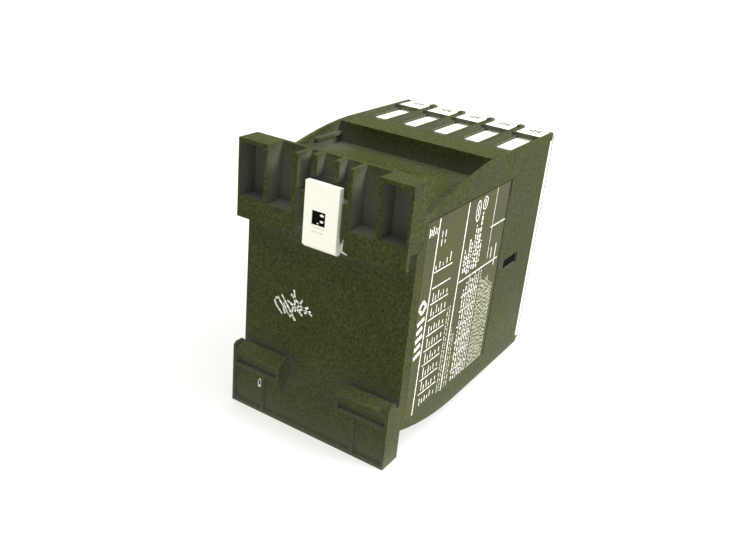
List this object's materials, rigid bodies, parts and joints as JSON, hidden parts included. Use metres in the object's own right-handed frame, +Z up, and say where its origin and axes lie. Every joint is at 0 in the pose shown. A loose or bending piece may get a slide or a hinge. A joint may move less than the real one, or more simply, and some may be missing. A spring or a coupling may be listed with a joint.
{
  "type": "industrial control relay",
  "caption": "Rail-mounted control relay: black box with a channelled rear plate, a white sprung rail clip, a cream front and rows of screw terminals above and below.",
  "frame": {"origin": "middle of the footprint, on the plane of the lower edge of the mounting plate", "axes": "+Z up, +Y towards the mounting rail (the rear), -Y towards the operator (the front), +X to the right for someone facing the front"},
  "size_m": [0.045, 0.075, 0.068],
  "materials": {
    "black_plastic": "fine-grained matte moulding",
    "cream_plastic": "satin moulding",
    "white_plastic": "satin moulding",
    "clip_plastic": "smooth moulding with a soft gloss",
    "label_film": "printed film",
    "core_steel": "stacked sheet, ground pole faces",
    "plated_steel": "bright zinc",
    "brass": "stamped strip",
    "copper": "bare copper",
    "enamelled_wire": "close-wound enamelled copper wire",
    "rubber": "soft moulding",
    "carrier_plastic": "glass-filled moulding",
    "indicator_plastic": "smooth moulding"
  },
  "bodies": {
    "relay": {"base_housing": "black_plastic", "side_label": "label_film", "contact_housing": "black_plastic", "front_cover": "cream_plastic", "marker_plate": "white_plastic", "fixed_core": "core_steel", "core_cushion": "rubber", "shading_ring_left": "copper", "shading_ring_right": "copper", "coil_bobbin": "white_plastic", "coil_winding": "enamelled_wire", "return_spring_1": "plated_steel", "return_spring_2": "plated_steel", "rail_clip_spring": "plated_steel", "coil_strip_top": "brass", "coil_strip_bottom": "brass", "contact_strip_top_2": "brass", "contact_strip_top_3": "brass", "contact_strip_top_4": "brass", "contact_strip_top_5": "brass", "contact_strip_bottom_2": "brass", "contact_strip_bottom_3": "brass", "contact_strip_bottom_4": "brass", "contact_strip_bottom_5": "brass"},
    "armature": {"contact_carrier": "carrier_plastic", "armature_core": "core_steel", "armature_pin": "plated_steel", "position_indicator": "indicator_plastic", "contact_bridge_1": "brass", "contact_bridge_2": "brass", "contact_bridge_3": "brass", "contact_bridge_4": "brass", "contact_spring_1": "plated_steel", "contact_spring_2": "plated_steel", "contact_spring_3": "plated_steel", "contact_spring_4": "plated_steel"},
    "rail_clip": {"rail_clip": "clip_plastic"},
    "clamp_top_1": {"clamp_plate_top_1": "plated_steel"},
    "screw_top_1": {"terminal_screw_top_1": "plated_steel"},
    "clamp_top_2": {"clamp_plate_top_2": "plated_steel"},
    "screw_top_2": {"terminal_screw_top_2": "plated_steel"},
    "clamp_top_3": {"clamp_plate_top_3": "plated_steel"},
    "screw_top_3": {"terminal_screw_top_3": "plated_steel"},
    "clamp_top_4": {"clamp_plate_top_4": "plated_steel"},
    "screw_top_4": {"terminal_screw_top_4": "plated_steel"},
    "clamp_top_5": {"clamp_plate_top_5": "plated_steel"},
    "screw_top_5": {"terminal_screw_top_5": "plated_steel"},
    "clamp_bottom_1": {"clamp_plate_bottom_1": "plated_steel"},
    "screw_bottom_1": {"terminal_screw_bottom_1": "plated_steel"},
    "clamp_bottom_2": {"clamp_plate_bottom_2": "plated_steel"},
    "screw_bottom_2": {"terminal_screw_bottom_2": "plated_steel"},
    "clamp_bottom_3": {"clamp_plate_bottom_3": "plated_steel"},
    "screw_bottom_3": {"terminal_screw_bottom_3": "plated_steel"},
    "clamp_bottom_4": {"clamp_plate_bottom_4": "plated_steel"},
    "screw_bottom_4": {"terminal_screw_bottom_4": "plated_steel"},
    "clamp_bottom_5": {"clamp_plate_bottom_5": "plated_steel"},
    "screw_bottom_5": {"terminal_screw_bottom_5": "plated_steel"}
  },
  "joints": [
    {"name": "armature_slide", "type": "slide", "parent": "relay", "child": "armature", "axis": [0, 1, 0], "range_m": [0, 0.0032], "stiffness_N_per_m": 250, "springref_m": -0.003, "deforming": ["return_spring_1", "return_spring_2"]},
    {"name": "rail_clip_slide", "type": "slide", "parent": "relay", "child": "rail_clip", "axis": [0, 0, 1], "range_m": [0, 0.003], "stiffness_N_per_m": 300, "springref_m": -0.004, "deforming": ["rail_clip_spring"]},
    {"name": "clamp_top_1_slide", "type": "slide", "parent": "relay", "child": "clamp_top_1", "axis": [0, 1, 0], "range_m": [0, 0.004]},
    {"name": "screw_top_1_turn", "type": "hinge", "parent": "clamp_top_1", "child": "screw_top_1", "pos_m": [-0.018, -0.015, 0.0575], "axis": [0, 1, 0], "range_deg": [0, 2880]},
    {"name": "clamp_top_2_slide", "type": "slide", "parent": "relay", "child": "clamp_top_2", "axis": [0, 1, 0], "range_m": [0, 0.004]},
    {"name": "screw_top_2_turn", "type": "hinge", "parent": "clamp_top_2", "child": "screw_top_2", "pos_m": [-0.009, -0.015, 0.0575], "axis": [0, 1, 0], "range_deg": [0, 2880]},
    {"name": "clamp_top_3_slide", "type": "slide", "parent": "relay", "child": "clamp_top_3", "axis": [0, 1, 0], "range_m": [0, 0.004]},
    {"name": "screw_top_3_turn", "type": "hinge", "parent": "clamp_top_3", "child": "screw_top_3", "pos_m": [0, -0.015, 0.0575], "axis": [0, 1, 0], "range_deg": [0, 2880]},
    {"name": "clamp_top_4_slide", "type": "slide", "parent": "relay", "child": "clamp_top_4", "axis": [0, 1, 0], "range_m": [0, 0.004]},
    {"name": "screw_top_4_turn", "type": "hinge", "parent": "clamp_top_4", "child": "screw_top_4", "pos_m": [0.009, -0.015, 0.0575], "axis": [0, 1, 0], "range_deg": [0, 2880]},
    {"name": "clamp_top_5_slide", "type": "slide", "parent": "relay", "child": "clamp_top_5", "axis": [0, 1, 0], "range_m": [0, 0.004]},
    {"name": "screw_top_5_turn", "type": "hinge", "parent": "clamp_top_5", "child": "screw_top_5", "pos_m": [0.018, -0.015, 0.0575], "axis": [0, 1, 0], "range_deg": [0, 2880]},
    {"name": "clamp_bottom_1_slide", "type": "slide", "parent": "relay", "child": "clamp_bottom_1", "axis": [0, 1, 0], "range_m": [0, 0.004]},
    {"name": "screw_bottom_1_turn", "type": "hinge", "parent": "clamp_bottom_1", "child": "screw_bottom_1", "pos_m": [-0.018, -0.015, 0.0111], "axis": [0, 1, 0], "range_deg": [0, 2880]},
    {"name": "clamp_bottom_2_slide", "type": "slide", "parent": "relay", "child": "clamp_bottom_2", "axis": [0, 1, 0], "range_m": [0, 0.004]},
    {"name": "screw_bottom_2_turn", "type": "hinge", "parent": "clamp_bottom_2", "child": "screw_bottom_2", "pos_m": [-0.009, -0.015, 0.0111], "axis": [0, 1, 0], "range_deg": [0, 2880]},
    {"name": "clamp_bottom_3_slide", "type": "slide", "parent": "relay", "child": "clamp_bottom_3", "axis": [0, 1, 0], "range_m": [0, 0.004]},
    {"name": "screw_bottom_3_turn", "type": "hinge", "parent": "clamp_bottom_3", "child": "screw_bottom_3", "pos_m": [0, -0.015, 0.0111], "axis": [0, 1, 0], "range_deg": [0, 2880]},
    {"name": "clamp_bottom_4_slide", "type": "slide", "parent": "relay", "child": "clamp_bottom_4", "axis": [0, 1, 0], "range_m": [0, 0.004]},
    {"name": "screw_bottom_4_turn", "type": "hinge", "parent": "clamp_bottom_4", "child": "screw_bottom_4", "pos_m": [0.009, -0.015, 0.0111], "axis": [0, 1, 0], "range_deg": [0, 2880]},
    {"name": "clamp_bottom_5_slide", "type": "slide", "parent": "relay", "child": "clamp_bottom_5", "axis": [0, 1, 0], "range_m": [0, 0.004]},
    {"name": "screw_bottom_5_turn", "type": "hinge", "parent": "clamp_bottom_5", "child": "screw_bottom_5", "pos_m": [0.018, -0.015, 0.0111], "axis": [0, 1, 0], "range_deg": [0, 2880]}
  ],
  "couplings": [
    {"joint": "screw_top_1_turn", "follows": "clamp_top_1_slide", "rad_per_m": 12566},
    {"joint": "screw_top_2_turn", "follows": "clamp_top_2_slide", "rad_per_m": 12566},
    {"joint": "screw_top_3_turn", "follows": "clamp_top_3_slide", "rad_per_m": 12566},
    {"joint": "screw_top_4_turn", "follows": "clamp_top_4_slide", "rad_per_m": 12566},
    {"joint": "screw_top_5_turn", "follows": "clamp_top_5_slide", "rad_per_m": 12566},
    {"joint": "screw_bottom_1_turn", "follows": "clamp_bottom_1_slide", "rad_per_m": 12566},
    {"joint": "screw_bottom_2_turn", "follows": "clamp_bottom_2_slide", "rad_per_m": 12566},
    {"joint": "screw_bottom_3_turn", "follows": "clamp_bottom_3_slide", "rad_per_m": 12566},
    {"joint": "screw_bottom_4_turn", "follows": "clamp_bottom_4_slide", "rad_per_m": 12566},
    {"joint": "screw_bottom_5_turn", "follows": "clamp_bottom_5_slide", "rad_per_m": 12566}
  ]
}
